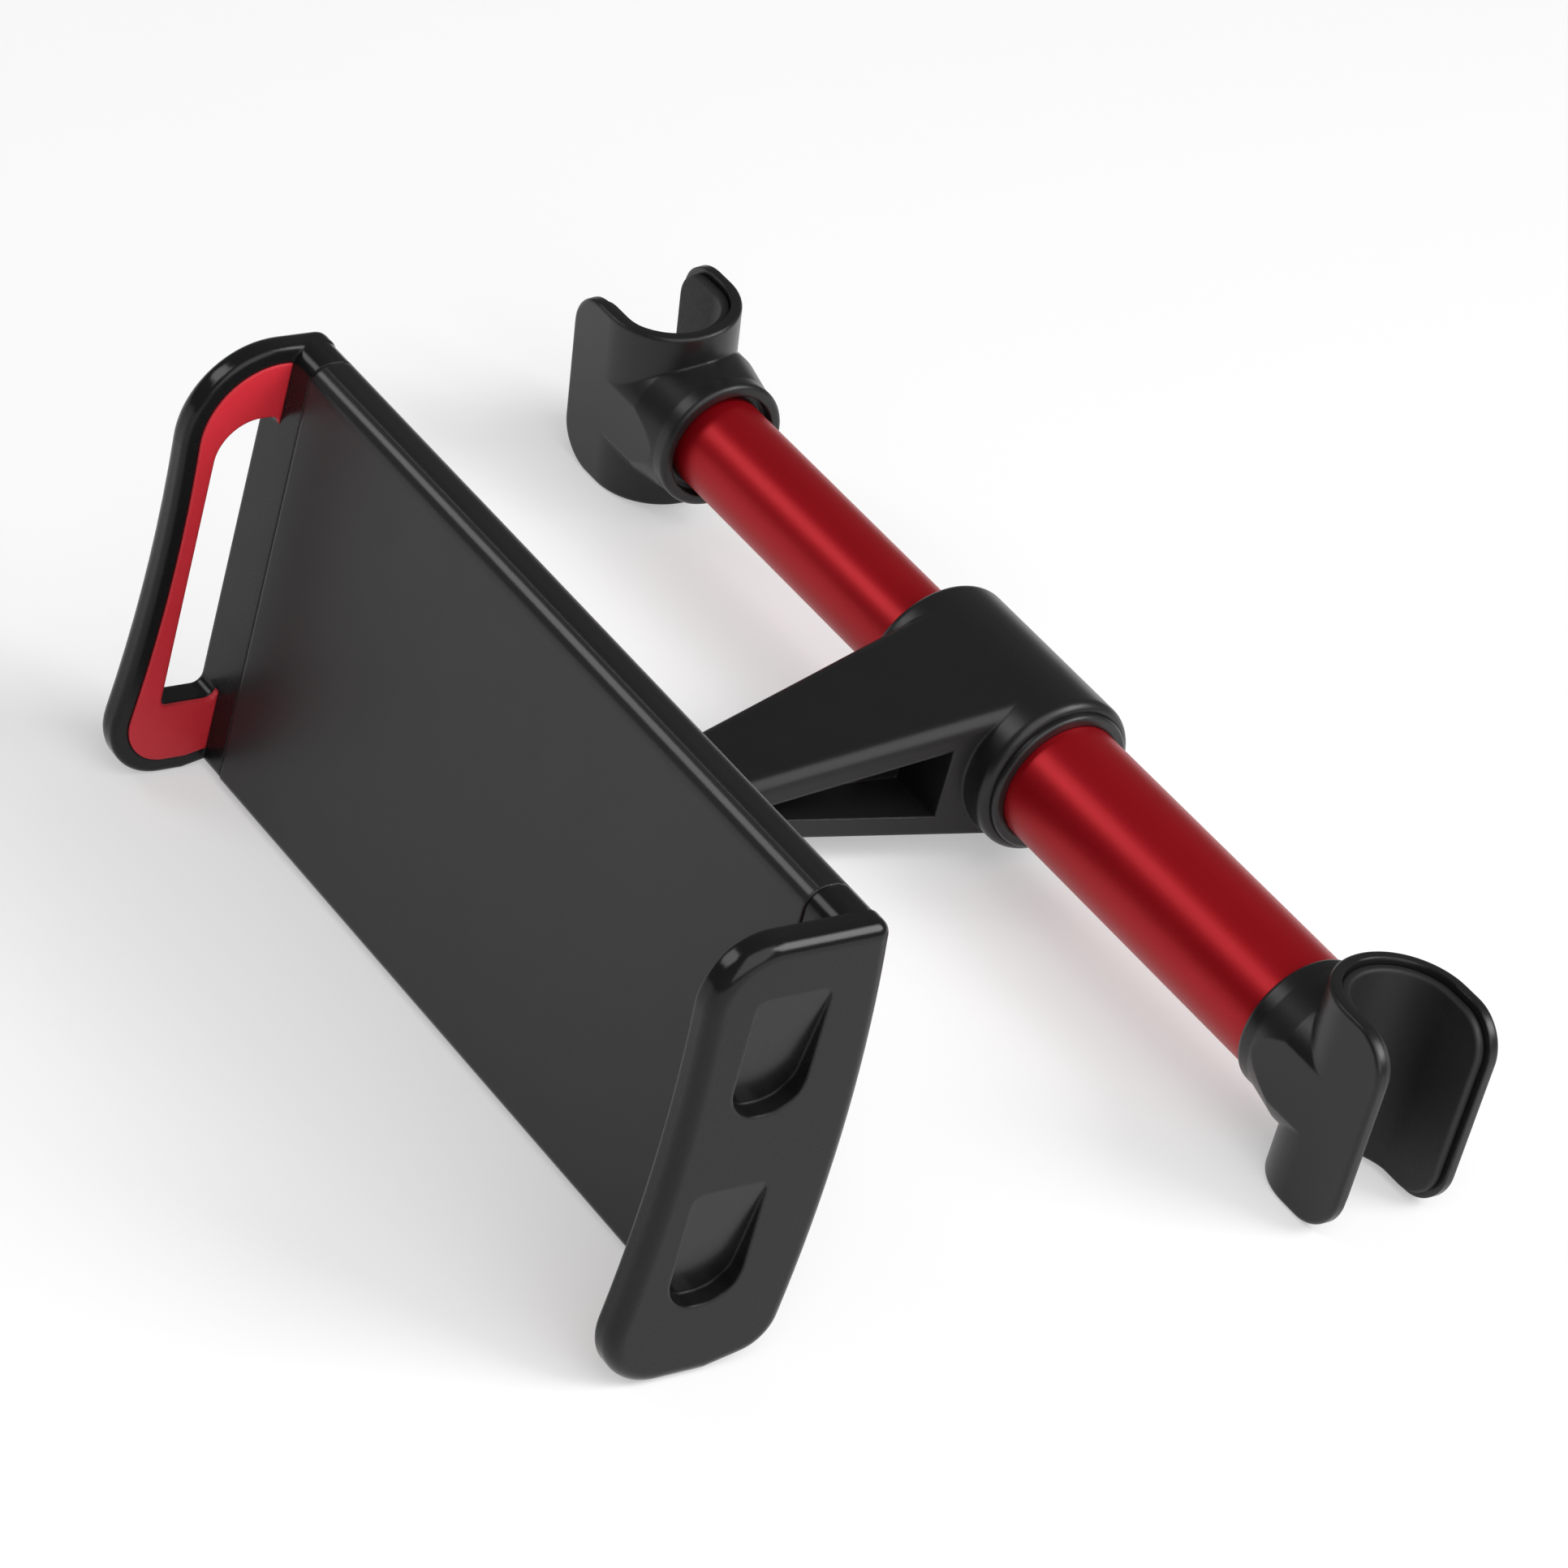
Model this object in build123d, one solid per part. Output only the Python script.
from build123d import *
import os
from math import asin, cos, radians, sin, sqrt

# A headrest tablet mount. A sprung telescopic rod pushes two clips outwards against the posts of a
# headrest. An arm turns on the rod and carries a tablet holder on a ball joint. One jaw of the holder
# slides. X runs along the rod, -Y is the side that the tablet faces, and Z is up. Sizes are in mm.

# Clearances
SNUG = 0.02            # round pieces that are fixed in each other
RUN = 0.06             # a shaft that turns or slides in its hole
LOOSE = 0.30           # pieces that pass each other
BALL_GAP = 0.12        # between the ball, its seat and the socket

# Telescopic rod
ROD_Z = 15.0           # height of the rod's axis when the mount stands on a table
ROD_HALF = 68.0        # from the middle of the rod to the face of each clip
OUTER_R = 9.0
TUBE_STEP = 1.9        # the inner tube's radius is smaller by this much
TUBE_WALL = 0.8
MOUTH_X = -10.5        # open end of the outer tube
BUSH_LENGTH = 14.0
BUSH_FLANGE = 0.8
PISTON_LENGTH = 9.0
PISTON_CHAMFER = 0.6
PLUG_LENGTH = 10.0
PIVOT_R = 2.5
PIVOT_HEAD_R = 4.4
PIVOT_HEAD = 2.0
PIVOT_SLOT = 1.0
SPRING_SEAT_R = 4.6
SPRING_SEAT = 4.0
ROD_SPRING_R = 6.1     # middle of the wire
ROD_SPRING_WIRE = 1.3
ROD_SPRING_TURNS = 7

# Post clips
POST_R = 7.0
LINER = 1.4
SHELL = 1.6
POST_OFFSET = 15.8     # from the clip's face to the axis of the post
CLIP_REACH = 24.7      # from the clip's face to the free edges of its legs
CLIP_RISE = 15.2       # from the rod's axis to the top of the clip
CLIP_TWIST = 9.5       # the left clip stands a little turned about the rod
COLLAR_R = 9.9
COLLAR_EDGE = 0.8
COLLAR_STRAIGHT = 2.5  # length of the collar before it flares
COLLAR_FLARE = 5.5     # length of the flare that runs into the U
FLARE_R = 11.0
COLLAR_GAP = 1.1       # width of the recess round the thinner tube
COLLAR_RECESS = 1.8
SOCKET_DEPTH = 5.0
LEG_CORNERS = (6.2, 6.2)    # of the clips' legs, at their top and foot
CLIP_EDGE = 0.55
LINER_INSET = 0.9
LINER_ROUND = 0.45
SCREW_R = 1.5
SCREW_HEAD_R = 2.8
SCREW_HEAD = 1.2
SCREW_GRIP = 7.0       # how far a clip screw reaches into its plug

# Barrel and arm
BARREL_R = 11.8
BARREL_LEFT = -15.6
BARREL_RIGHT = 14.0
BARREL_EDGE = 1.4
BARREL_END_WALL = 3.6
BARREL_BUSH_WALL = 1.5
BARREL_BUSH_RIM = 0.9
BARREL_BUSH_ROUND = 0.5
ARM_SLOPE = 19.0       # degrees that the top of the arm falls towards the holder
ARM_SINK = 0.05        # how far the top of the arm starts under the barrel's surface
ARM_DROP = 10.1        # from the rod's axis down to the level underside of the arm
ARM_ROOT_LEFT = -13.5
ARM_ROOT_RIGHT = 11.0
ARM_KNEE_LEFT = -11.3   # sides of the arm where its top turns level
ARM_KNEE_RIGHT = 2.1
ARM_TIP_HALF = 5.2
ARM_TIP_HEIGHT = 7.8
ARM_TAIL_STEP = 0.4    # the arm's level end is a little smaller than the arm at its knee
ARM_TOP_FLANGE = 4.2
ARM_LOW_FLANGE = 2.8
ARM_WEB = 3.0
ARM_EDGE = 2.4
POCKET_START = 14.2    # from the rod's axis to the near end of the side pockets
NOSE_R = 7.2
NOSE_LENGTH = 16.0

# Ball joint
BALL_R = 8.0
BALL_X = -7.0
BALL_Z = 14.2
BALL_STANDOFF = 11.0   # from the back of the holder to the middle of the ball
STUD_R = 3.7
STUD_NECK = 16.0       # from the middle of the ball to the arm's nose
STUD_FLANGE_R = 5.6
STUD_FLANGE = 1.6
STUD_GROOVE = 1.1
STUD_SHANK = 12.0
GROOVE_PLACE = 7.2     # from the arm's nose to the middle of the stud's groove
PIN_R = 1.0
SEAT_WALL = 1.15
TILT = 15.0            # degrees that the holder tilts on the ball, each way
COLLET_R = 10.9
COLLET_RISE = 1.4
COLLET_SLOT = 1.4
COLLET_SLOTS = 6
NUT_R = 12.6
NUT_LENGTH = 13.6
NUT_BACK = 6.6         # from the ball's middle to the open end of the nut
NUT_MOUTH_R = 6.4
NUT_MOUTH_FLARE = 1.2
NUT_GRIPS = 14
NUT_GRIP_R = 1.5
NUT_GRIP_OUT = 0.8     # from the outside of the nut to the middle of a flute
NUT_EDGE = 0.75

# Tablet holder
HOLDER_BACK = 93.3     # from the rod's axis to the back of the holder
HOLDER_TOP = 64.0
HOLDER_BULGE = 2.3     # how far the back swells between its top and bottom edges
BODY_LEFT = -32.0
BODY_RIGHT = 80.2
BODY_FOOT = 0.6
BACK_EDGE = 2.6
FRONT_EDGE = 2.8       # rounding of the body's front, at its top
FOOT_EDGE = 1.2        # and at its foot
PANEL_FACE = 6.5       # from the back of the holder to the face of the panel
PANEL_WALL = 1.6
BACK_WALL = 1.6

# Jaws
LIP_TOP = 24.2         # from the back of the holder to the front of the fixed jaw, at its top
LIP_FOOT = 25.7        # and at its foot
LIP_SHORTER = 3.3      # the sliding jaw reaches forwards this much less
LIP_BOW = 2.3          # the front edges of the jaws are hollow by this much
JAW_ROOT = 4.7
JAW_WALL = 4.0
FIXED_TOP_CORNER = 8.2
SLIDING_TOP_CORNER = 12.5
JAW_FOOT_CORNER = 8.5
JAW_HEEL = 9.1         # depth at which the jaws' feet start to rise towards the back
JAW_HEEL_RISE = 2.1
JAW_HEEL_CORNER = 6.0
JAW_NECK_CORNER = 2.0
JAW_EDGE = 1.9         # rounding of the jaws' outer edges
JAW_INNER_EDGE = 0.7
ROOT_STEP = 0.2        # the jaws' roots lie a little lower than the panel
RIM_WIDTH = 2.3        # black rim round the red trim
TRIM_DEPTH = 0.6
TRIM_PROUD = 0.25
WINDOW_FAR = 14.9      # from the back of the holder to the far side of the window
WINDOW_LOW = 10.6
WINDOW_BELOW = 10.0    # from the top of the holder down to the window
WINDOW_CORNER = 1.6
WINDOW_TOP_CORNER = 5.8    # the corner that follows the top of the jaw
SCOOP_DEPTH = 2.7
SCOOP_WIDTH = 10.4
SCOOP_HEIGHT = 17.5
SCOOP_MIDDLE = 12.4    # depth half-way between the scoops
SCOOP_LEAN = 0.6       # the lower scoop is this much further forwards, and the upper one back
SCOOP_RISE = 13.9      # from the height between the two scoops to the middle of each
SCOOP_HIGHER = 2.0     # how far above the middle of the jaw that height is
SCOOP_SLOPE = 8.7
SCOOP_FOOT_ROUND = 4.7
SCOOP_TOP_ROUND = 1.5

# Slide of the sliding jaw
TONGUE_LOW = 12.0
TONGUE_BELOW = 10.0    # from the top of the holder down to the tongue
TONGUE_END = 66.0
SPRING_HOOK = 38.0     # where the jaw springs meet the tongue
SPIGOT = 8.6           # length of the fixed jaw inside the housing
JAW_SPRING_R = 1.1     # middle of the wire
JAW_SPRING_WIRE = 0.55
JAW_SPRING_TURNS = 9
SPRING_SPREAD = 20.0   # between the two springs

# Screws that hold the panel on the housing
HOUSING_SCREW_R = 1.2
HOUSING_SCREW_HEAD_R = 2.3
HOUSING_SCREW_HEAD = 1.4
HOUSING_SCREW_SINK = 0.6
HOUSING_SCREW_MARGIN = 5.0
HOUSING_SCREW_COVER = 0.6    # plastic that is left in front of the screws

# Ways of placing and choosing
BASE = (Align.CENTER, Align.CENTER, Align.MIN)
ALONG = 0.9            # cosine above which a direction counts as along an axis
REACH = 400.0          # longer than the whole mount, for cutting blocks

# Places that follow from the sizes above
ROD_Y = (HOLDER_BACK + LIP_FOOT - BARREL_R) / 2
INNER_R = OUTER_R - TUBE_STEP
OUTER_BORE = OUTER_R - TUBE_WALL
INNER_BORE = INNER_R - TUBE_WALL
BUSH_END = MOUTH_X + BUSH_LENGTH
PISTON_X = BUSH_END + LOOSE
PISTON_END = PISTON_X + PISTON_LENGTH
INNER_END = PISTON_X - LOOSE / 2
ROD_END = ROD_HALF + SOCKET_DEPTH
CLIP_HALF = POST_R + LINER + SHELL
BACK_Y = ROD_Y - HOLDER_BACK
BALL_Y = BACK_Y + BALL_STANDOFF
NOSE_Y = BALL_Y + STUD_NECK
JAW_MIDDLE = HOLDER_TOP / 2
HOUSING_DEPTH = PANEL_FACE - PANEL_WALL
ROOT_DEPTH = PANEL_FACE - ROOT_STEP
WINDOW_HIGH = HOLDER_TOP - WINDOW_BELOW
TONGUE_NEAR = BACK_WALL + LOOSE
TONGUE_FAR = HOUSING_DEPTH - LOOSE
TONGUE_HIGH = HOLDER_TOP - TONGUE_BELOW
TONGUE_MIDDLE = (TONGUE_LOW + TONGUE_HIGH) / 2
SPIGOT_X = BODY_RIGHT - SPIGOT
KNEE_RISE = (ARM_TIP_HEIGHT - ARM_DROP) * cos(radians(ARM_SLOPE))
KNEE_Y = ROD_Y + (KNEE_RISE - BARREL_R + ARM_SINK) / sin(radians(ARM_SLOPE))
TURN = Axis((BALL_X, BALL_Y, BALL_Z), (0, 1, 0))
SEAT_R = BALL_R + BALL_GAP + SEAT_WALL
SEAT_RIM = SEAT_R * sin(asin(COLLET_RISE / SEAT_R) - radians(TILT))


def across_rod(x, y=ROD_Y, z=ROD_Z):
    """Plane across X whose own x runs along Y and whose own y runs up."""
    return Plane(origin=(x, y, z), x_dir=(0, 1, 0), z_dir=(1, 0, 0))


def along_rod(x0, x1, radius, y=ROD_Y, z=ROD_Z):
    return extrude(across_rod(x0, y, z) * Circle(radius), amount=x1 - x0)


def from_back(depth):
    """World y of a depth that is measured forwards from the back of the holder."""
    return BACK_Y - depth


def slab(x0, x1, depth0, depth1, z0, z1):
    """Block of the holder between two places along the rod, two depths and two heights."""
    middle = ((x0 + x1) / 2, from_back((depth0 + depth1) / 2), (z0 + z1) / 2)
    return Pos(*middle) * Box(x1 - x0, abs(depth1 - depth0), z1 - z0)


def coil(start, end, radius, wire, turns, y, z):
    """Spring along X between two faces, its wire just clear of both."""
    length = end - start - wire - LOOSE
    path = Helix(pitch=length / turns, height=length, radius=radius)
    section = Plane(origin=path @ 0, z_dir=path % 0) * Circle(wire / 2)
    spring = sweep(section, path=path, is_frenet=True)
    return Pos(start + (wire + LOOSE) / 2, y, z) * Rot(0, 90, 0) * spring


# Telescopic rod
def outer_tube():
    return along_rod(MOUTH_X, ROD_END, OUTER_R) - along_rod(MOUTH_X, ROD_END, OUTER_BORE)


def inner_tube():
    return along_rod(-ROD_END, INNER_END, INNER_R) - along_rod(-ROD_END, INNER_END, INNER_BORE)


def guide_bush():
    sleeve = along_rod(MOUTH_X, BUSH_END, OUTER_BORE - SNUG)
    flange = along_rod(MOUTH_X - BUSH_FLANGE, MOUTH_X, OUTER_R)
    return sleeve + flange - along_rod(MOUTH_X - BUSH_FLANGE, BUSH_END, INNER_R + RUN)


def guide_piston():
    piston = along_rod(PISTON_X, PISTON_END, OUTER_BORE - RUN)
    piston = chamfer(piston.edges().filter_by(GeomType.CIRCLE), PISTON_CHAMFER)
    piston += along_rod(PISTON_END, PISTON_END + SPRING_SEAT, SPRING_SEAT_R)
    return piston - along_rod(PISTON_X, PISTON_END, PIVOT_R + SNUG)


def pivot_plug():
    plug = along_rod(INNER_END - PLUG_LENGTH, INNER_END, INNER_BORE - SNUG)
    return plug - along_rod(INNER_END - PLUG_LENGTH, INNER_END, PIVOT_R + RUN)


def pivot_screw():
    head_face = INNER_END - PLUG_LENGTH - LOOSE / 2
    head = along_rod(head_face - PIVOT_HEAD, head_face, PIVOT_HEAD_R)
    slot = Pos(head_face - PIVOT_HEAD, ROD_Y, ROD_Z) * Box(PIVOT_HEAD, 2 * PIVOT_HEAD_R, PIVOT_SLOT)
    return head + along_rod(head_face, PISTON_END, PIVOT_R) - slot


def rod_spring():
    end = ROD_END - PLUG_LENGTH
    return coil(PISTON_END, end, ROD_SPRING_R, ROD_SPRING_WIRE, ROD_SPRING_TURNS, ROD_Y, ROD_Z)


def outwards(x0, x1, radius):
    """Cylinder on the rod's axis, with the face of the right clip at x = 0."""
    return Pos(x0, 0, 0) * Rot(0, 90, 0) * Cylinder(radius, x1 - x0, align=BASE)


def end_plug(bore, seat):
    """Plug of a tube's outer end, drawn as if the clip's face were at x = 0 on the rod's axis."""
    plug = outwards(SOCKET_DEPTH - PLUG_LENGTH, SOCKET_DEPTH, bore - SNUG)
    if seat:
        end = SOCKET_DEPTH - PLUG_LENGTH
        plug += outwards(end - SPRING_SEAT, end, SPRING_SEAT_R)
    return plug - outwards(SOCKET_DEPTH - SCREW_GRIP, SOCKET_DEPTH, SCREW_R + SNUG)


# Post clips, drawn as the right one with its face at x = 0 on the rod's axis
def u_block(radius, reach, foot, top, corners=None):
    """Block with a half-round back about the post and two flat sides that end at reach."""
    back = ThreePointArc((POST_OFFSET, radius), (POST_OFFSET - radius, 0), (POST_OFFSET, -radius))
    sides = Polyline(back @ 1, (reach, -radius), (reach, radius), back @ 0)
    outline = make_face([back, *sides.edges()])
    block = extrude(Plane.XY.offset(foot) * outline, amount=top - foot, dir=(0, 0, 1))
    if corners:
        ends = block.edges().filter_by(Axis.Y).sort_by(Axis.Z)
        block = fillet(ends[-1], corners[0])
        block = fillet(block.edges().filter_by(Axis.Y).sort_by(Axis.Z)[0], corners[1])
    return block


def seat_face():
    """Distance from the clip's face to the back of the seat that the liner lies on."""
    return POST_OFFSET - POST_R - LINER


def clip(tube_r, drop):
    shell = u_block(CLIP_HALF, CLIP_REACH, -drop, CLIP_RISE, LEG_CORNERS)
    rims = [edge for face in shell.faces().filter_by(Axis.Y) for edge in face.edges()]
    rims += shell.edges().filter_by(GeomType.CIRCLE).filter_by(lambda e: abs(e.radius - CLIP_HALF) < SNUG)
    shell = fillet([e for e in rims if not is_seam(e)], CLIP_EDGE)
    body = shell + collar()
    body -= u_block(POST_R + LINER, CLIP_REACH * 2, -drop - SHELL, CLIP_RISE + SHELL)
    body -= outwards(0, SOCKET_DEPTH, tube_r + SNUG)
    body -= outwards(0, COLLAR_RECESS, min(tube_r + COLLAR_GAP, OUTER_R) + SNUG)
    body -= outwards(0, POST_OFFSET, SCREW_R + SNUG)
    return body - outwards(seat_face() - SCREW_HEAD, POST_OFFSET, SCREW_HEAD_R + SNUG)


def collar():
    """Round collar of a clip, which flares into the back of the U as far as its flat sides."""
    ring = outwards(0, POST_OFFSET, COLLAR_R)
    ring = fillet(ring.edges().filter_by(GeomType.CIRCLE).sort_by(Axis.X)[0], COLLAR_EDGE)
    flare_end = COLLAR_STRAIGHT + COLLAR_FLARE
    flare = Pos(COLLAR_STRAIGHT, 0, 0) * Rot(0, 90, 0) * Cone(COLLAR_R, FLARE_R, COLLAR_FLARE, align=BASE)
    flare += outwards(flare_end, POST_OFFSET, FLARE_R)
    return ring + (flare & Box(REACH, 2 * CLIP_HALF, REACH))


def is_seam(edge):
    """True for the edges where the half-round back runs on into the flat sides."""
    return abs(edge.tangent_at(0.5).Z) > ALONG and edge.center().X < CLIP_REACH - LINER


def clip_liner(drop):
    reach = CLIP_REACH - LINER_INSET
    inset = [corner - LINER_INSET for corner in LEG_CORNERS]
    strip = u_block(POST_R + LINER - SNUG, reach, LINER_INSET - drop, CLIP_RISE - LINER_INSET, inset)
    strip -= u_block(POST_R, CLIP_REACH * 2, -drop - SHELL, CLIP_RISE + SHELL)
    rims = [edge for edge in strip.edges() if not is_seam(edge) and edge.length > 2 * LINER]
    return fillet(rims, LINER_ROUND)


def clip_screw():
    seat = seat_face() - SCREW_HEAD
    head = outwards(seat, seat_face() - LOOSE, SCREW_HEAD_R)
    return head + outwards(SOCKET_DEPTH - SCREW_GRIP + LOOSE, seat, SCREW_R)


def at_right(piece):
    return Pos(ROD_HALF, ROD_Y, ROD_Z) * piece


def at_left(piece):
    return Pos(-ROD_HALF, ROD_Y, ROD_Z) * Rot(CLIP_TWIST, 0, 0) * Rot(0, 0, 180) * piece


def left_drop():
    """Length of the left clip's legs: turned about the rod, they still stand on the table."""
    return (ROD_Z - CLIP_HALF * sin(radians(CLIP_TWIST))) / cos(radians(CLIP_TWIST))


# Barrel and arm
def arm_top(y):
    """Height of the arm's top above the rod's axis: it leaves the barrel almost at a tangent."""
    slope = radians(ARM_SLOPE)
    return (BARREL_R - ARM_SINK + (y - ROD_Y) * sin(slope)) / cos(slope)


def arm_side(top_cut, low_cut, start, end):
    """Side view of the arm between two places along Y, cut back from its top and underside."""
    low = ROD_Z - ARM_DROP + low_cut
    high = ROD_Z - top_cut
    points = [(start, low), (start, high + arm_top(start)), (end, high + arm_top(end)), (end, low)]
    face = make_face(Plane.YZ.offset(BARREL_LEFT) * Polyline(*points, close=True))
    return extrude(face, amount=BARREL_RIGHT - BARREL_LEFT, dir=(1, 0, 0))


def arm_plan(start, start_sides, end, end_sides):
    """Upright block whose plan runs between two places along Y, each with its left and right side."""
    points = [(start_sides[0], start), (start_sides[1], start), (end_sides[1], end), (end_sides[0], end)]
    return extrude(make_face(Polyline(*points, close=True)), amount=HOLDER_TOP, dir=(0, 0, 1))


def arm_bracket():
    root = ROD_Y - BARREL_R * sin(radians(ARM_SLOPE))
    tip = NOSE_Y + NOSE_LENGTH / 2
    sides = arm_plan(root, (ARM_ROOT_LEFT, ARM_ROOT_RIGHT), KNEE_Y, (ARM_KNEE_LEFT, ARM_KNEE_RIGHT))
    arm = arm_side(0, 0, root, KNEE_Y) & sides
    top = arm.faces().filter_by(lambda f: f.normal_at().Z > ALONG)[0]
    arm = fillet([e for e in top.edges() if abs(e.tangent_at(0.5).X) < ALONG], ARM_EDGE)
    tail_sides = (ARM_KNEE_LEFT + ARM_TAIL_STEP, ARM_KNEE_RIGHT - ARM_TAIL_STEP)
    tail = arm_plan(KNEE_Y + ARM_WEB, tail_sides, tip, (BALL_X - ARM_TIP_HALF, BALL_X + ARM_TIP_HALF))
    low = ROD_Z - ARM_DROP
    tail &= Pos(BALL_X, KNEE_Y, low) * Box(REACH, REACH, ARM_TIP_HEIGHT - ARM_TAIL_STEP, align=BASE)
    root_middle = (ARM_ROOT_LEFT + ARM_ROOT_RIGHT) / 2
    knee_middle = (ARM_KNEE_LEFT + ARM_KNEE_RIGHT) / 2
    half = ARM_WEB / 2
    root_web = (root_middle - half, root_middle + half)
    web = arm_plan(root, root_web, KNEE_Y, (knee_middle - half, knee_middle + half))
    pocket = arm_side(ARM_TOP_FLANGE, ARM_LOW_FLANGE, ROD_Y - POCKET_START, KNEE_Y + ARM_WEB)
    barrel = along_rod(BARREL_LEFT, BARREL_RIGHT, BARREL_R)
    barrel = fillet(barrel.edges().filter_by(GeomType.CIRCLE), BARREL_EDGE)
    nose = in_nose(NOSE_R, NOSE_LENGTH)
    nose = fillet(nose.edges().filter_by(GeomType.CIRCLE), ARM_EDGE / 2)
    body = arm + tail - (pocket - web) + barrel + nose
    body -= along_rod(BARREL_LEFT + BARREL_END_WALL, BARREL_RIGHT, OUTER_R + RUN + BARREL_BUSH_WALL)
    body -= along_rod(BARREL_LEFT, BARREL_RIGHT, INNER_R + LOOSE)
    return body - in_nose(STUD_R + RUN, STUD_SHANK + LOOSE) - stud_pin(SNUG)


def barrel_bush():
    inside = BARREL_LEFT + BARREL_END_WALL
    rim = BARREL_RIGHT + BARREL_BUSH_RIM
    bush = along_rod(inside, rim, OUTER_R + RUN + BARREL_BUSH_WALL - SNUG)
    bush = fillet(bush.edges().filter_by(GeomType.CIRCLE).sort_by(Axis.X)[-1], BARREL_BUSH_ROUND)
    return bush - along_rod(inside, rim, OUTER_R + RUN)


# Ball joint
def in_nose(radius, length):
    """Cylinder that starts at the face of the arm's nose and runs back into it."""
    return Pos(BALL_X, NOSE_Y, BALL_Z) * Rot(-90, 0, 0) * Cylinder(radius, length, align=BASE)


def stud_pin(clearance=0.0):
    """Pin across the nose that runs in the groove of the stud's shank."""
    height = BALL_Z + STUD_R - STUD_GROOVE + PIN_R + RUN
    half = sqrt(NOSE_R ** 2 - (height - BALL_Z + PIN_R) ** 2) - LOOSE
    pin = Rot(0, 90, 0) * Cylinder(PIN_R + clearance, 2 * half)
    return Pos(BALL_X, NOSE_Y + GROOVE_PLACE, height) * pin


def round_about_ball(*profile):
    """Solid turned about the ball's own axis from points given as radius and place along Y."""
    points = [(BALL_X + radius, BALL_Y + along) for radius, along in profile]
    face = make_face(Pos(0, 0, BALL_Z) * Polyline(*points, close=True))
    return revolve(face, TURN)


def ball(radius):
    return Pos(BALL_X, BALL_Y, BALL_Z) * Sphere(radius)


def ball_stud():
    flange = STUD_NECK - LOOSE
    core = STUD_R - STUD_GROOVE
    groove_start = STUD_NECK + GROOVE_PLACE - PIN_R - RUN
    groove_end = STUD_NECK + GROOVE_PLACE + PIN_R + RUN
    end = STUD_NECK + STUD_SHANK
    shank = round_about_ball(
        (0, 0), (STUD_R, 0), (STUD_R, flange - STUD_FLANGE), (STUD_FLANGE_R, flange - STUD_FLANGE),
        (STUD_FLANGE_R, flange), (STUD_R, flange), (STUD_R, groove_start), (core, groove_start),
        (core, groove_end), (STUD_R, groove_end), (STUD_R, end), (0, end))
    return ball(BALL_R) + shank


def ball_seat():
    """Cup under the ball, whose rim stays inside the collet when the holder tilts."""
    cup = ball(SEAT_R) - ball(BALL_R + BALL_GAP)
    side = 2 * BALL_R
    return cup & round_about_ball((0, -side), (side, -side), (side, SEAT_RIM), (0, SEAT_RIM))


def ring_nut():
    back = NUT_BACK
    front = NUT_BACK - NUT_LENGTH
    shoulder = COLLET_RISE + LOOSE
    nut = round_about_ball((0, front), (NUT_R, front), (NUT_R, back), (0, back))
    nut = fillet(nut.edges().filter_by(GeomType.CIRCLE), NUT_EDGE)
    grip = Pos(BALL_X + NUT_R + NUT_GRIP_OUT, BALL_Y + (front + back) / 2, BALL_Z)
    grip *= Rot(90, 0, 0) * Cylinder(NUT_GRIP_R, NUT_LENGTH * 2)
    nut -= [grip.rotate(TURN, 360 * i / NUT_GRIPS) for i in range(NUT_GRIPS)]
    nut -= round_about_ball((0, front), (COLLET_R + RUN, front), (COLLET_R + RUN, shoulder), (0, shoulder))
    nut -= ball(BALL_R + LOOSE)
    flare = NUT_MOUTH_R + NUT_MOUTH_FLARE
    mouth = [(0, 0), (NUT_MOUTH_R, 0), (NUT_MOUTH_R, back - NUT_MOUTH_FLARE), (flare, back), (0, back)]
    return nut - round_about_ball(*mouth)


# Tablet holder
def back_arc(foot, top):
    """Swelling back edge of the holder's section, from its foot up to its top."""
    middle = (from_back(-HOLDER_BULGE), (foot + top) / 2)
    return ThreePointArc((from_back(0), foot), middle, (from_back(0), top))


def holder_section(front):
    """Section of the holder's body across the rod, from its swelling back to its round-edged front."""
    back = back_arc(BODY_FOOT, HOLDER_TOP)
    rest = Polyline(back @ 1, (from_back(front), HOLDER_TOP), (from_back(front), BODY_FOOT), back @ 0)
    face = make_face([back, *rest.edges()])
    face = fillet(face.vertices().group_by(Axis.X)[-1], BACK_EDGE)
    face = fillet(nearest(face, from_back(front), HOLDER_TOP), FRONT_EDGE)
    return fillet(nearest(face, from_back(front), BODY_FOOT), FOOT_EDGE)


def body_block(x0, x1, front):
    return extrude(across_rod(x0, 0, 0) * holder_section(front), amount=x1 - x0)


def screw_places():
    """Places of the housing screws: x and z."""
    sides = (BODY_LEFT + HOUSING_SCREW_MARGIN, BODY_RIGHT - HOUSING_SCREW_MARGIN)
    heights = ((BODY_FOOT + TONGUE_LOW) / 2, (HOLDER_TOP + TONGUE_HIGH) / 2)
    return [(x, z) for x in sides for z in heights]


def to_front(depth, radius, length):
    """Cylinder that runs forwards from a depth of the holder, centred on x = 0 and z = 0."""
    return Pos(0, from_back(depth), 0) * Rot(90, 0, 0) * Cylinder(radius, length, align=BASE)


def housing_screw(clearance):
    head = to_front(HOUSING_SCREW_SINK, HOUSING_SCREW_HEAD_R + clearance, HOUSING_SCREW_HEAD)
    length = PANEL_FACE - HOUSING_SCREW_COVER - HOUSING_SCREW_SINK
    return head + to_front(HOUSING_SCREW_SINK, HOUSING_SCREW_R + clearance, length)


def screw_holes():
    outside = -2 * HOLDER_BULGE
    sink = to_front(outside, HOUSING_SCREW_HEAD_R + SNUG, HOUSING_SCREW_SINK - outside)
    hole = housing_screw(SNUG) + sink
    return [Pos(x, 0, z) * hole for x, z in screw_places()]


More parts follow.
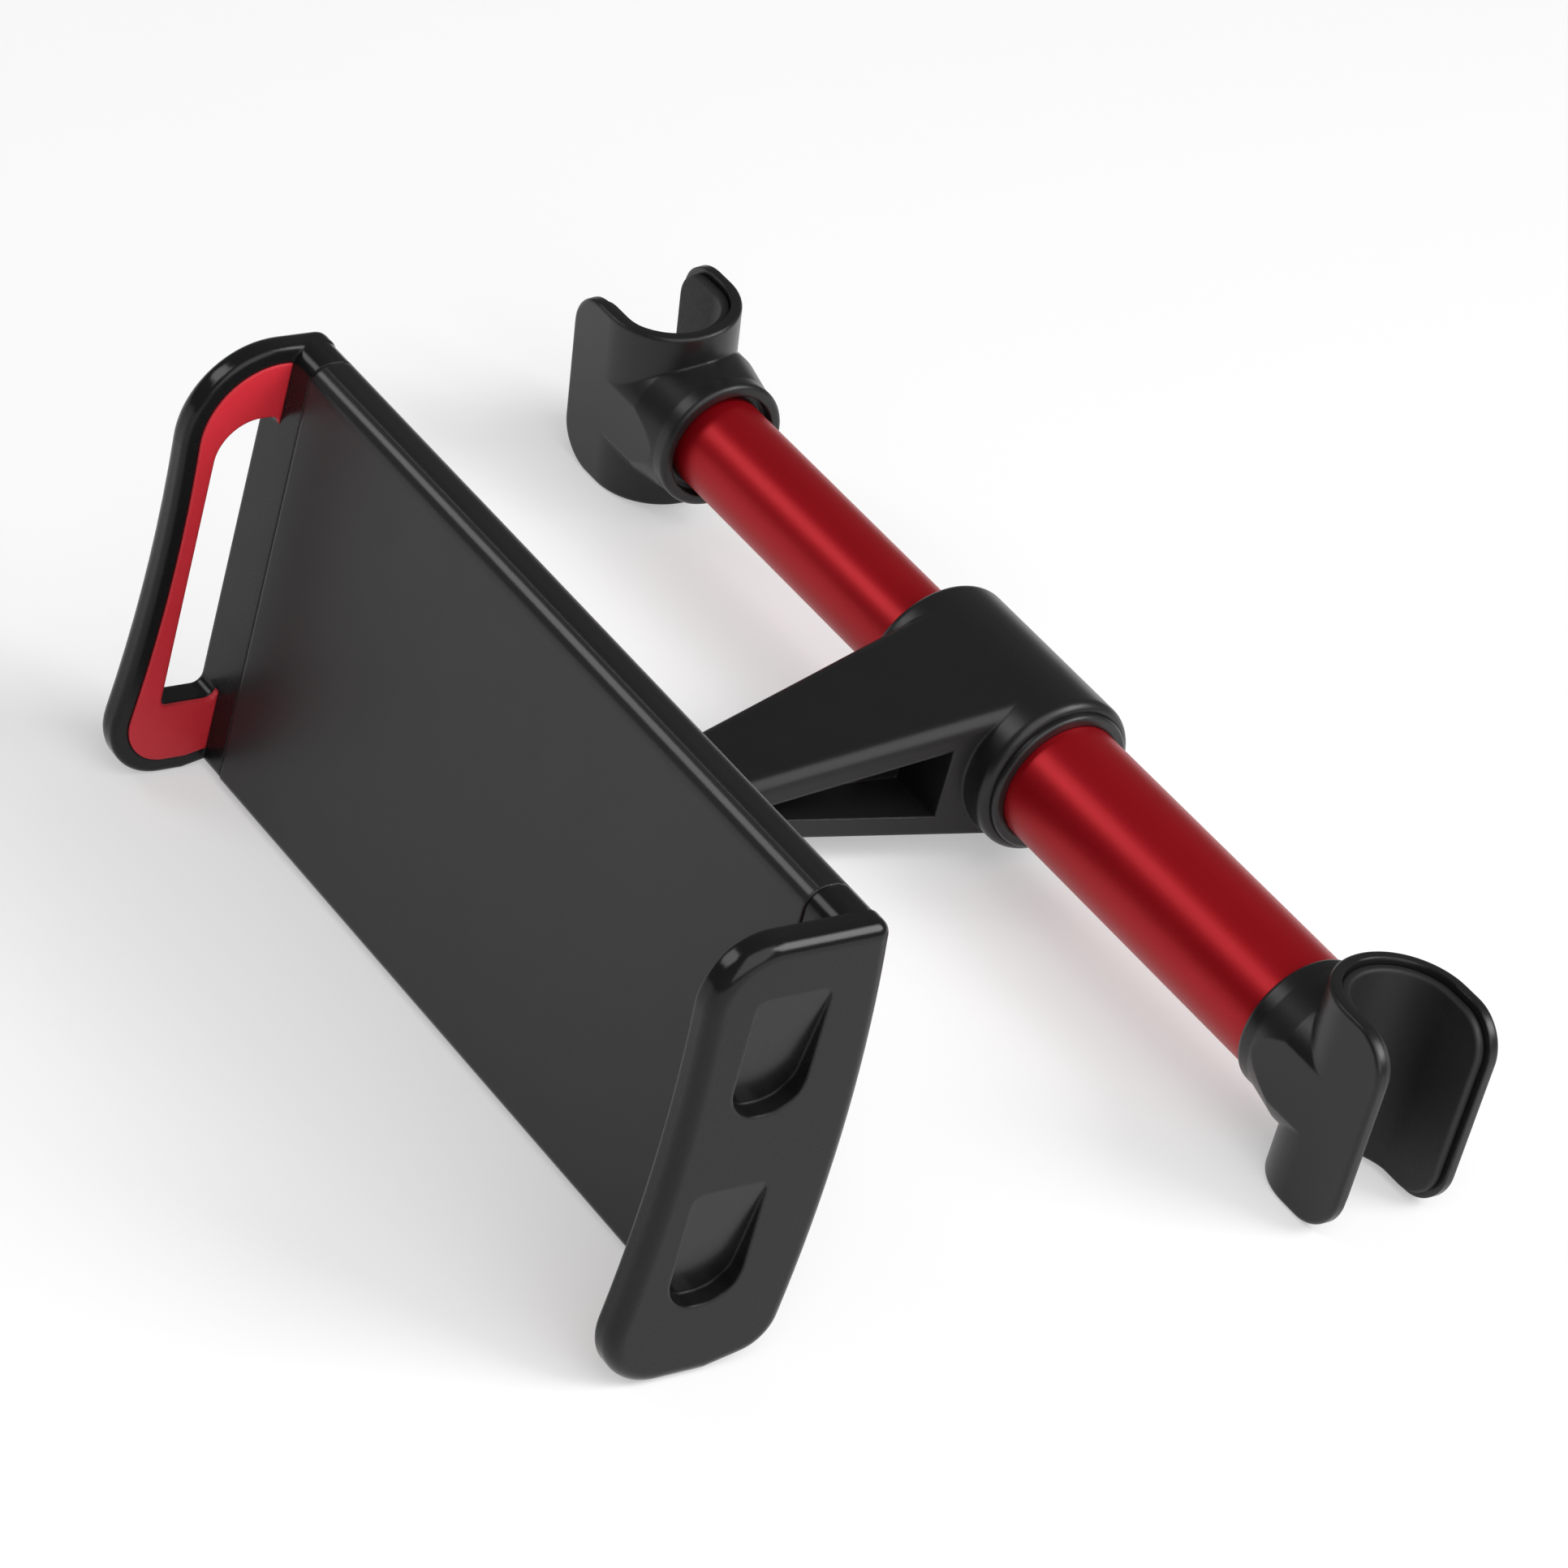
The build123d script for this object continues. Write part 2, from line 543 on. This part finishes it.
def housing_screws():
    return Compound(children=[Pos(x, 0, z) * housing_screw(0.0) for x, z in screw_places()])


def back_housing():
    shell = body_block(BODY_LEFT, BODY_RIGHT, PANEL_FACE) - panel_space()
    front = from_back(HOUSING_DEPTH / 2) - BALL_Y
    shell += round_about_ball((0, front), (COLLET_R, front), (COLLET_R, COLLET_RISE), (0, COLLET_RISE))
    socket = BALL_R + 2 * BALL_GAP + SEAT_WALL
    shell -= ball(socket)
    shell -= round_about_ball((0, 0), (socket, 0), (socket, BALL_R), (0, BALL_R))
    slot = Pos(BALL_X + COLLET_R, BALL_Y, BALL_Z) * Box(COLLET_R, COLLET_R, COLLET_SLOT)
    shell -= [slot.rotate(TURN, 360 * (i + 0.5) / COLLET_SLOTS) for i in range(COLLET_SLOTS)]
    shell -= slab(BODY_LEFT, BODY_RIGHT, BACK_WALL, HOUSING_DEPTH, TONGUE_LOW - LOOSE, TONGUE_HIGH + LOOSE)
    return shell - screw_holes()


def panel_space():
    """Front of the body, as far back as the panel reaches."""
    return slab(BODY_LEFT, BODY_RIGHT, HOUSING_DEPTH, PANEL_FACE, 0, HOLDER_TOP)


def front_panel():
    return (body_block(BODY_LEFT, BODY_RIGHT, PANEL_FACE) & panel_space()) - screw_holes()


# Jaws, drawn across the rod with true y and z
def jaw_section(shorter):
    top_corner = SLIDING_TOP_CORNER if shorter else FIXED_TOP_CORNER
    back = back_arc(JAW_HEEL_RISE, HOLDER_TOP)
    top = from_back(LIP_TOP - shorter)
    foot = from_back(LIP_FOOT - shorter)
    front = ThreePointArc((top, HOLDER_TOP), ((top + foot) / 2 + LIP_BOW, JAW_MIDDLE), (foot, 0))
    heel = Polyline(front @ 1, (from_back(JAW_HEEL), 0), back @ 0)
    face = make_face([back, Line(back @ 1, front @ 0), front, *heel.edges()])
    face = fillet(nearest(face, top, HOLDER_TOP), top_corner)
    face = fillet(nearest(face, foot, 0), JAW_FOOT_CORNER)
    face = fillet(nearest(face, from_back(0), JAW_HEEL_RISE), JAW_HEEL_CORNER)
    return fillet(nearest(face, from_back(0), HOLDER_TOP), JAW_NECK_CORNER)


def nearest(face, y, z):
    """Corner of a section that lies nearest to a place."""
    return min(face.vertices(), key=lambda v: (v.X - y) ** 2 + (v.Y - z) ** 2)


def jaw_plate(outer, inner, shorter):
    """Wall of a jaw from its outer face to its inner one, with both rims rounded."""
    plate = extrude(across_rod(min(outer, inner), 0, 0) * jaw_section(shorter), amount=JAW_WALL)
    for x, rounding in ((outer, JAW_EDGE), (inner, JAW_INNER_EDGE)):
        face = min(plate.faces().filter_by(Axis.X), key=lambda f: abs(f.center().X - x))
        plate = fillet(face.edges(), rounding)
    return plate


def jaw_root(x0, x1):
    """Block that carries a jaw on the body."""
    return body_block(x0, x1, ROOT_DEPTH)


def window(x0, x1):
    """Window of the sliding jaw. Its near side runs on flush from the jaw's root."""
    near = from_back(ROOT_DEPTH)
    far = from_back(WINDOW_FAR)
    opening = Pos((near + far) / 2, (WINDOW_LOW + WINDOW_HIGH) / 2)
    opening *= Rectangle(near - far, WINDOW_HIGH - WINDOW_LOW)
    opening = fillet(nearest(opening, far, WINDOW_HIGH), WINDOW_TOP_CORNER)
    for y, z in ((far, WINDOW_LOW), (near, WINDOW_LOW), (near, WINDOW_HIGH)):
        opening = fillet(nearest(opening, y, z), WINDOW_CORNER)
    return extrude(across_rod(x0, 0, 0) * opening, amount=x1 - x0)


def trim_block(x0, x1, shorter, gap=0.0):
    """Space inside the rim of a jaw, in front of the jaw's root."""
    field = offset(jaw_section(shorter), -RIM_WIDTH - gap)
    block = extrude(across_rod(x0, 0, 0) * field, amount=x1 - x0)
    return block - slab(x0, x1, -HOLDER_BULGE * 2, ROOT_DEPTH + gap, 0, HOLDER_TOP)


def sliding_jaw():
    inner = BODY_LEFT - JAW_ROOT
    outer = inner - JAW_WALL
    jaw = jaw_plate(outer, inner, LIP_SHORTER) + jaw_root(inner - JAW_EDGE, BODY_LEFT - LOOSE)
    tongue = slab(inner, TONGUE_END, TONGUE_NEAR, TONGUE_FAR, TONGUE_LOW, TONGUE_HIGH)
    for side in (-1, 1):
        z = TONGUE_MIDDLE + side * SPRING_SPREAD / 2
        half = JAW_SPRING_R + JAW_SPRING_WIRE / 2 + LOOSE
        tongue -= slab(SPRING_HOOK, TONGUE_END, TONGUE_NEAR, TONGUE_FAR, z - half, z + half)
    jaw = jaw + tongue - trim_block(inner - TRIM_DEPTH, inner, LIP_SHORTER)
    return jaw - window(outer, inner)


def sliding_jaw_trim():
    inner = BODY_LEFT - JAW_ROOT
    trim = trim_block(inner - TRIM_DEPTH, inner + TRIM_PROUD, LIP_SHORTER, SNUG)
    return trim - window(inner - TRIM_DEPTH, inner + TRIM_PROUD)


def scoop(x, side):
    """Scooped D-shaped pocket in the outer face of the fixed jaw, deepest at its round foot."""
    y = from_back(SCOOP_MIDDLE - side * SCOOP_LEAN)
    z = JAW_MIDDLE + SCOOP_HIGHER + side * SCOOP_RISE
    outline = Rectangle(SCOOP_WIDTH, SCOOP_HEIGHT)
    outline = fillet(outline.vertices().group_by(Axis.Y)[0], SCOOP_FOOT_ROUND)
    outline = fillet(outline.vertices().group_by(Axis.Y)[-1], SCOOP_TOP_ROUND)
    well = extrude(across_rod(x - SCOOP_DEPTH, y, z) * outline, amount=SCOOP_DEPTH * 2)
    floor = Pos(x, y, z + SCOOP_HEIGHT / 2) * Rot(0, SCOOP_SLOPE, 0)
    floor *= Pos(-SCOOP_HEIGHT, 0, -SCOOP_HEIGHT) * Box(2 * SCOOP_HEIGHT, SCOOP_WIDTH * 2, 4 * SCOOP_HEIGHT)
    return well - floor


def fixed_jaw():
    inner = BODY_RIGHT + JAW_ROOT
    outer = inner + JAW_WALL
    jaw = jaw_plate(outer, inner, 0) + jaw_root(BODY_RIGHT, inner + JAW_EDGE)
    jaw += slab(SPIGOT_X, BODY_RIGHT, TONGUE_NEAR, TONGUE_FAR, TONGUE_LOW, TONGUE_HIGH)
    jaw -= [scoop(outer, side) for side in (-1, 1)]
    return jaw - trim_block(inner, inner + TRIM_DEPTH, 0)


def fixed_jaw_pad():
    inner = BODY_RIGHT + JAW_ROOT
    return trim_block(inner - TRIM_PROUD, inner + TRIM_DEPTH, 0, SNUG)


def jaw_spring(side):
    z = TONGUE_MIDDLE + side * SPRING_SPREAD / 2
    y = from_back((TONGUE_NEAR + TONGUE_FAR) / 2)
    return coil(SPRING_HOOK, SPIGOT_X, JAW_SPRING_R, JAW_SPRING_WIRE, JAW_SPRING_TURNS, y, z)


PARTS = {
    "outer_tube": outer_tube(),
    "guide_bush": guide_bush(),
    "right_end_plug": at_right(end_plug(OUTER_BORE, True)),
    "right_clip": at_right(clip(OUTER_R, ROD_Z)),
    "right_clip_liner": at_right(clip_liner(ROD_Z)),
    "right_clip_screw": at_right(clip_screw()),
    "rod_spring": rod_spring(),
    "guide_piston": guide_piston(),
    "pivot_screw": pivot_screw(),
    "pivot_plug": pivot_plug(),
    "inner_tube": inner_tube(),
    "left_end_plug": at_left(end_plug(INNER_BORE, False)),
    "left_clip": at_left(clip(INNER_R, left_drop())),
    "left_clip_liner": at_left(clip_liner(left_drop())),
    "left_clip_screw": at_left(clip_screw()),
    "arm_bracket": arm_bracket(),
    "barrel_bush": barrel_bush(),
    "stud_pin": stud_pin(),
    "ball_stud": ball_stud(),
    "ball_seat": ball_seat(),
    "ring_nut": ring_nut(),
    "back_housing": back_housing(),
    "front_panel": front_panel(),
    "housing_screws": housing_screws(),
    "fixed_jaw": fixed_jaw(),
    "fixed_jaw_pad": fixed_jaw_pad(),
    "sliding_jaw": sliding_jaw(),
    "sliding_jaw_trim": sliding_jaw_trim(),
    "upper_jaw_spring": jaw_spring(1),
    "lower_jaw_spring": jaw_spring(-1),
}

# The origin lies under the middle of the whole mount
box = Compound(list(PARTS.values())).bounding_box()
home = Pos(-box.center().X, -box.center().Y, -box.min.Z)

os.makedirs("parts", exist_ok=True)
for name, piece in PARTS.items():
    export_step(home * piece, os.path.join("parts", name + ".step"))
print(len(PARTS), "parts written, moved by", home.position)
